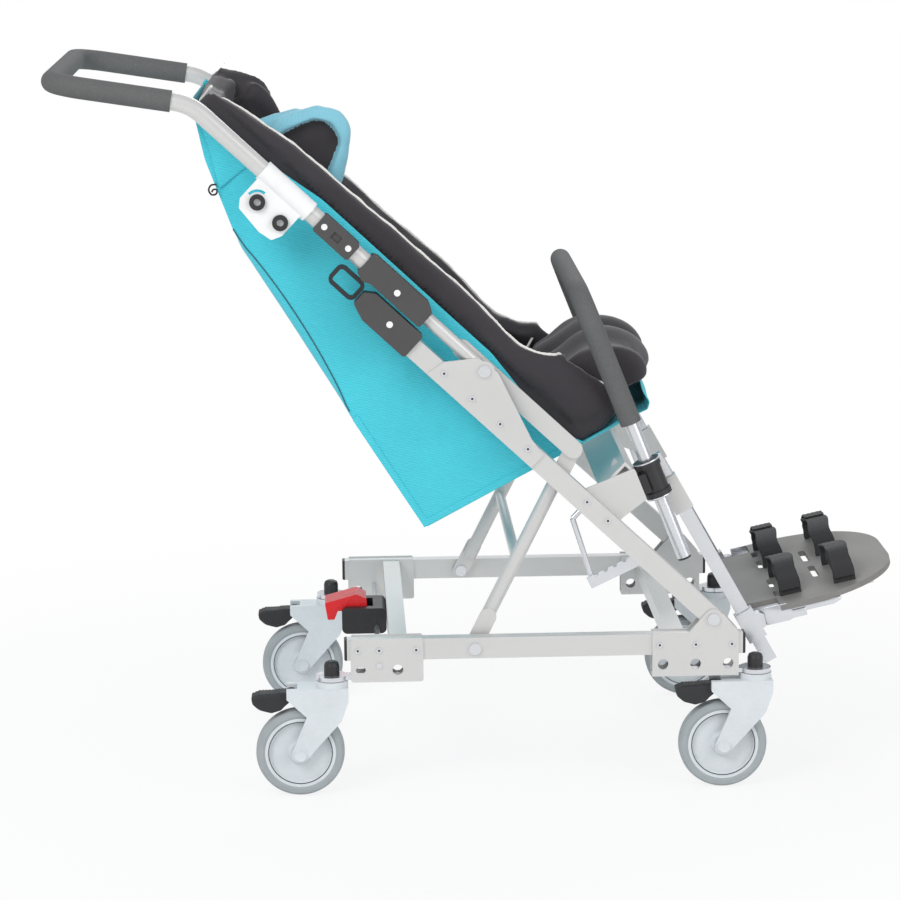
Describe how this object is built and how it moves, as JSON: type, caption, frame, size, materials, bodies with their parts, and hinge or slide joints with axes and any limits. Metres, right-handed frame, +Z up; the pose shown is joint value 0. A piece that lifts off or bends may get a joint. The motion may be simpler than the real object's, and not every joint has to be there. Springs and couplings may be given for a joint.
{
  "type": "special needs stroller",
  "caption": "Folding special needs stroller with reclined padded bucket seat, bumper bar, flip-up footplate and braked swivel casters",
  "frame": {"origin": "bottom centre of the bounding box, on the floor", "axes": "X forward, Y to the occupant's left, Z up"},
  "size_m": [1.205, 0.528, 1.0224],
  "materials": {
    "silver_frame": "satin silver paint",
    "zinc": "bright zinc plate",
    "black_plastic": "fine matt grain",
    "dark_plastic": "moulded dark grey",
    "white_plastic": "satin white",
    "caster_grey": "satin light grey",
    "tyre_grey": "matt grey",
    "pedal_rubber": "matt black",
    "foam": "fine open cell skin",
    "turquoise_cloth": "woven nylon",
    "black_cloth": "spacer fabric",
    "blue_cloth": "brushed knit",
    "red_plastic": "gloss",
    "footplate_grey": "fine grain",
    "webbing": "hook and loop band"
  },
  "bodies": {
    "base": {"base_rail_right": "silver_frame", "base_rail_left": "silver_frame", "cross_tubes": "silver_frame", "rear_bracket_right": "silver_frame", "rear_bracket_left": "silver_frame", "front_bracket_right": "silver_frame", "front_bracket_left": "silver_frame", "base_caps": "black_plastic", "base_rivets": "zinc", "base_pivot_bolts": "zinc", "caster_plates": "zinc", "latch_rod": "zinc", "latch_housing": "black_plastic"},
    "latch_lever": {"latch_lever": "red_plastic"},
    "lower_frame": {"main_diagonal_right": "silver_frame", "main_diagonal_left": "silver_frame", "gusset_plates": "silver_frame", "frame_rivets": "zinc", "lock_blocks": "dark_plastic", "front_side_plates": "zinc", "front_cross_member": "zinc", "bar_clamps": "black_plastic", "tilt_prop": "zinc"},
    "bumper_bar": {"bumper_tube": "zinc", "bumper_foam": "foam"},
    "footrest_hanger": {"foot_rails": "zinc", "foot_carrier": "zinc"},
    "footplate": {"footplate": "footplate_grey", "footplate_bracket": "zinc", "foot_straps": "webbing"},
    "handle_frame": {"handle_tube": "silver_frame", "handle_grip": "foam", "lower_handle_bars": "silver_frame", "lock_sleeves": "dark_plastic", "height_blocks": "dark_plastic", "clamp_plates": "white_plastic", "clamp_knobs": "black_plastic", "seat_sling": "turquoise_cloth", "seat_liner": "black_cloth", "seat_cushion": "black_cloth", "head_support": "blue_cloth"},
    "struts": {"rear_struts": "silver_frame"},
    "finger_loop_right": {"finger_loop_right": "black_plastic"},
    "finger_loop_left": {"finger_loop_left": "black_plastic"},
    "caster_swivel_rear_right": {"caster_fork_rear_right": "caster_grey"},
    "caster_roll_rear_right": {"caster_wheel_rear_right": "caster_grey", "caster_tyre_rear_right": "tyre_grey"},
    "caster_brake_rear_right": {"caster_pedal_rear_right": "pedal_rubber"},
    "caster_swivel_rear_left": {"caster_fork_rear_left": "caster_grey"},
    "caster_roll_rear_left": {"caster_wheel_rear_left": "caster_grey", "caster_tyre_rear_left": "tyre_grey"},
    "caster_brake_rear_left": {"caster_pedal_rear_left": "pedal_rubber"},
    "caster_swivel_front_right": {"caster_fork_front_right": "caster_grey"},
    "caster_roll_front_right": {"caster_wheel_front_right": "caster_grey", "caster_tyre_front_right": "tyre_grey"},
    "caster_brake_front_right": {"caster_pedal_front_right": "pedal_rubber"},
    "caster_swivel_front_left": {"caster_fork_front_left": "caster_grey"},
    "caster_roll_front_left": {"caster_wheel_front_left": "caster_grey", "caster_tyre_front_left": "tyre_grey"},
    "caster_brake_front_left": {"caster_pedal_front_left": "pedal_rubber"}
  },
  "joints": [
    {"name": "handle_fold", "type": "hinge", "parent": "lower_frame", "child": "handle_frame", "pos_m": [-0.00195, 0, 0.60503], "axis": [0, 1, 0], "range_deg": [0, 158], "deforming": ["seat_sling", "seat_liner", "seat_cushion", "head_support"]},
    {"name": "frame_fold", "type": "hinge", "parent": "base", "child": "lower_frame", "pos_m": [0.318, 0, 0.246], "axis": [0, 1, 0], "range_deg": [-38, 0]},
    {"name": "strut_fold", "type": "hinge", "parent": "base", "child": "struts", "pos_m": [-0.018, 0, 0.209], "axis": [0, 1, 0], "range_deg": [-103, 0]},
    {"name": "bumper_slide", "type": "slide", "parent": "lower_frame", "child": "bumper_bar", "axis": [-0.3648, 0, 0.9311], "range_m": [-0.05, 0.09]},
    {"name": "footrest_slide", "type": "slide", "parent": "lower_frame", "child": "footrest_hanger", "axis": [-0.4879, 0, 0.8729], "range_m": [0, 0.05]},
    {"name": "footplate_flip", "type": "hinge", "parent": "footrest_hanger", "child": "footplate", "pos_m": [0.392, 0, 0.224], "axis": [0, 1, 0], "range_deg": [-75, 0]},
    {"name": "latch_lift", "type": "hinge", "parent": "base", "child": "latch_lever", "pos_m": [-0.176, 0, 0.208], "axis": [0, 1, 0], "range_deg": [0, 30], "stiffness_Nm_per_rad": 0.4, "springref_deg": -5.73},
    {"name": "finger_pull_right", "type": "slide", "parent": "handle_frame", "child": "finger_loop_right", "axis": [-0.729, 0, 0.6845], "range_m": [0, 0.012], "stiffness_N_per_m": 300, "springref_m": -0.005},
    {"name": "finger_pull_left", "type": "slide", "parent": "handle_frame", "child": "finger_loop_left", "axis": [-0.729, 0, 0.6845], "range_m": [0, 0.012], "stiffness_N_per_m": 300, "springref_m": -0.005},
    {"name": "swivel_rear_right", "type": "hinge", "parent": "base", "child": "caster_swivel_rear_right", "pos_m": [-0.22, -0.24, 0.15], "axis": [0, 0, 1], "continuous": true},
    {"name": "roll_rear_right", "type": "hinge", "parent": "caster_swivel_rear_right", "child": "caster_roll_rear_right", "pos_m": [-0.266, -0.24, 0.0625], "axis": [0, 1, 0], "continuous": true},
    {"name": "pedal_rear_right", "type": "hinge", "parent": "caster_swivel_rear_right", "child": "caster_brake_rear_right", "pos_m": [-0.277, -0.24, 0.146], "axis": [0, 1, 0], "range_deg": [-10, 0]},
    {"name": "swivel_rear_left", "type": "hinge", "parent": "base", "child": "caster_swivel_rear_left", "pos_m": [-0.22, 0.24, 0.15], "axis": [0, 0, 1], "continuous": true},
    {"name": "roll_rear_left", "type": "hinge", "parent": "caster_swivel_rear_left", "child": "caster_roll_rear_left", "pos_m": [-0.266, 0.24, 0.0625], "axis": [0, 1, 0], "continuous": true},
    {"name": "pedal_rear_left", "type": "hinge", "parent": "caster_swivel_rear_left", "child": "caster_brake_rear_left", "pos_m": [-0.277, 0.24, 0.146], "axis": [0, 1, 0], "range_deg": [-10, 0]},
    {"name": "swivel_front_right", "type": "hinge", "parent": "base", "child": "caster_swivel_front_right", "pos_m": [0.379, -0.24, 0.15], "axis": [0, 0, 1], "continuous": true},
    {"name": "roll_front_right", "type": "hinge", "parent": "caster_swivel_front_right", "child": "caster_roll_front_right", "pos_m": [0.333, -0.24, 0.0625], "axis": [0, 1, 0], "continuous": true},
    {"name": "pedal_front_right", "type": "hinge", "parent": "caster_swivel_front_right", "child": "caster_brake_front_right", "pos_m": [0.322, -0.24, 0.146], "axis": [0, 1, 0], "range_deg": [-10, 0]},
    {"name": "swivel_front_left", "type": "hinge", "parent": "base", "child": "caster_swivel_front_left", "pos_m": [0.379, 0.24, 0.15], "axis": [0, 0, 1], "continuous": true},
    {"name": "roll_front_left", "type": "hinge", "parent": "caster_swivel_front_left", "child": "caster_roll_front_left", "pos_m": [0.333, 0.24, 0.0625], "axis": [0, 1, 0], "continuous": true},
    {"name": "pedal_front_left", "type": "hinge", "parent": "caster_swivel_front_left", "child": "caster_brake_front_left", "pos_m": [0.322, 0.24, 0.146], "axis": [0, 1, 0], "range_deg": [-10, 0]}
  ],
  "couplings": [
    {"joint": "frame_fold", "follows": "handle_fold", "ratio": -0.23243},
    {"joint": "strut_fold", "follows": "handle_fold", "ratio": -0.63588}
  ]
}
